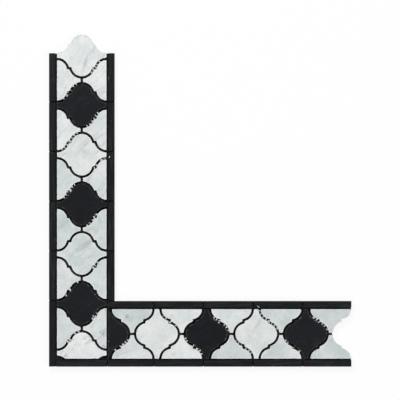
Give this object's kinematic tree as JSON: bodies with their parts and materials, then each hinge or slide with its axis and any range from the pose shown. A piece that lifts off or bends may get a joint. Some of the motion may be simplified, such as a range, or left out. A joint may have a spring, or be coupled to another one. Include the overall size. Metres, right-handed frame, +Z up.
{
  "type": "marble mosaic border corner",
  "caption": "Flat L-shaped mosaic border corner of white and black marble lanterns between black strips on a net, with a tongue end and a notched end that key into the next lengths.",
  "frame": {"origin": "crossing of the two legs' centre lines, on the underside of the net", "axes": "+Z up out of the polished face, +Y along the leg that ends in the tongue, +X along the leg that ends in the socket"},
  "size_m": [0.3048, 0.3346, 0.0108],
  "materials": {
    "white_marble": "polished",
    "black_marble": "polished",
    "glass_fibre_net": "woven"
  },
  "bodies": {
    "root": {"net_backing": "glass_fibre_net", "socket_leg_black_lantern_1": "black_marble", "socket_leg_black_lantern_2": "black_marble", "socket_leg_black_lantern_3": "black_marble", "socket_leg_filler_inner_1": "white_marble", "socket_leg_filler_inner_2": "white_marble", "socket_leg_filler_inner_3": "white_marble", "socket_leg_filler_inner_4": "white_marble", "socket_leg_filler_inner_5": "white_marble", "socket_leg_filler_outer_1": "white_marble", "socket_leg_filler_outer_2": "white_marble", "socket_leg_filler_outer_3": "white_marble", "socket_leg_filler_outer_4": "white_marble", "socket_leg_filler_outer_5": "white_marble", "socket_leg_strip_inner_1": "black_marble", "socket_leg_strip_inner_2": "black_marble", "socket_leg_strip_inner_3": "black_marble", "socket_leg_strip_inner_4": "black_marble", "socket_leg_strip_inner_5": "black_marble", "socket_leg_strip_outer_1": "black_marble", "socket_leg_strip_outer_2": "black_marble", "socket_leg_strip_outer_3": "black_marble", "socket_leg_strip_outer_4": "black_marble", "socket_leg_strip_outer_5": "black_marble", "socket_leg_strip_outer_6": "black_marble", "socket_leg_white_lantern_1": "white_marble", "socket_leg_white_lantern_2": "white_marble", "tongue_leg_black_lantern_1": "black_marble", "tongue_leg_black_lantern_2": "black_marble", "tongue_leg_black_lantern_3": "black_marble", "tongue_leg_filler_inner_1": "white_marble", "tongue_leg_filler_inner_2": "white_marble", "tongue_leg_filler_inner_3": "white_marble", "tongue_leg_filler_inner_4": "white_marble", "tongue_leg_filler_inner_5": "white_marble", "tongue_leg_filler_inner_6": "white_marble", "tongue_leg_filler_outer_1": "white_marble", "tongue_leg_filler_outer_2": "white_marble", "tongue_leg_filler_outer_3": "white_marble", "tongue_leg_filler_outer_4": "white_marble", "tongue_leg_filler_outer_5": "white_marble", "tongue_leg_filler_outer_6": "white_marble", "tongue_leg_strip_inner_1": "black_marble", "tongue_leg_strip_inner_2": "black_marble", "tongue_leg_strip_inner_3": "black_marble", "tongue_leg_strip_inner_4": "black_marble", "tongue_leg_strip_inner_5": "black_marble", "tongue_leg_strip_outer_1": "black_marble", "tongue_leg_strip_outer_2": "black_marble", "tongue_leg_strip_outer_3": "black_marble", "tongue_leg_strip_outer_4": "black_marble", "tongue_leg_strip_outer_5": "black_marble", "tongue_leg_strip_outer_6": "black_marble", "tongue_leg_white_lantern_1": "white_marble", "tongue_leg_white_lantern_2": "white_marble", "tongue_leg_white_lantern_3": "white_marble", "tongue_leg_white_lantern_4": "white_marble"}
  },
  "joints": []
}
